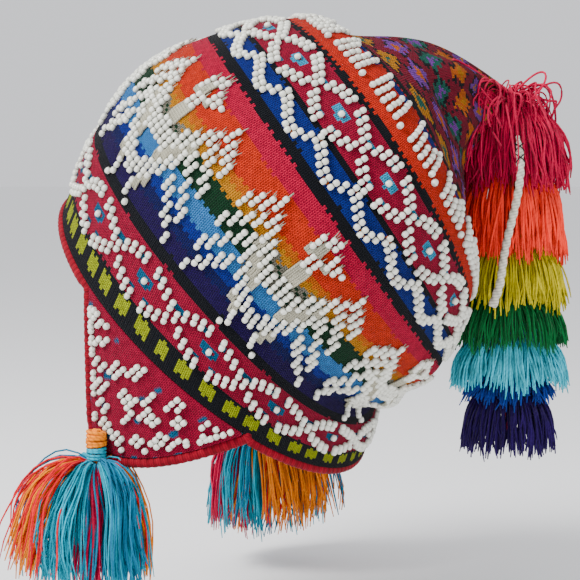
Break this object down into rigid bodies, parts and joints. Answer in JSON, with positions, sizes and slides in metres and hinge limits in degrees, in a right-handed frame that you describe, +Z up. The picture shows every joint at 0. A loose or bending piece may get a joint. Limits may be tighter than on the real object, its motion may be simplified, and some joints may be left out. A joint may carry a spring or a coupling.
{
  "type": "knitted chullo hat",
  "caption": "Knitted hat with ear flaps, patterned bead and colour bands, a flap tassel each side and a drooping tail with a long tiered tassel.",
  "frame": {"origin": "where the top of the wearer's head meets the inside of the knitting, midway between the ear flaps", "axes": "+Z up, -Y the way the wearer faces, +X the wearer's left side"},
  "size_m": [0.2545, 0.2427, 0.2778],
  "materials": {
    "knit_crown": "matt wool knitting in bands of many colours",
    "knit_flap": "matt crimson wool knitting",
    "crochet_binding": "matt red wool crochet",
    "orange_yarn": "soft spun yarn",
    "turquoise_yarn": "soft spun yarn",
    "mixed_yarn": "soft spun yarn in red, orange, turquoise and crimson",
    "crimson_yarn": "soft spun yarn",
    "coral_yarn": "soft spun yarn",
    "yellow_yarn": "soft spun yarn",
    "green_yarn": "soft spun yarn",
    "sky_yarn": "soft spun yarn",
    "blue_yarn": "soft spun yarn",
    "violet_yarn": "soft spun yarn",
    "ivory_yarn": "plied ivory wool",
    "glass_beads": "opaque ivory glass seed beads"
  },
  "bodies": {
    "root": {"crown": "knit_crown", "ear_flap_left": "knit_flap", "ear_flap_right": "knit_flap", "edge_binding": "crochet_binding", "orange_wrap_left": "orange_yarn", "orange_wrap_right": "orange_yarn", "turquoise_wrap_left": "turquoise_yarn", "turquoise_wrap_right": "turquoise_yarn", "flap_tassel_left": "mixed_yarn", "flap_tassel_right": "mixed_yarn", "tail_tassel_cord": "crimson_yarn", "tier_crimson": "crimson_yarn", "tier_coral": "coral_yarn", "tier_yellow": "yellow_yarn", "tier_green": "green_yarn", "tier_turquoise": "sky_yarn", "tier_blue": "blue_yarn", "tier_violet": "violet_yarn", "white_drop_cord": "ivory_yarn"}
  },
  "joints": []
}
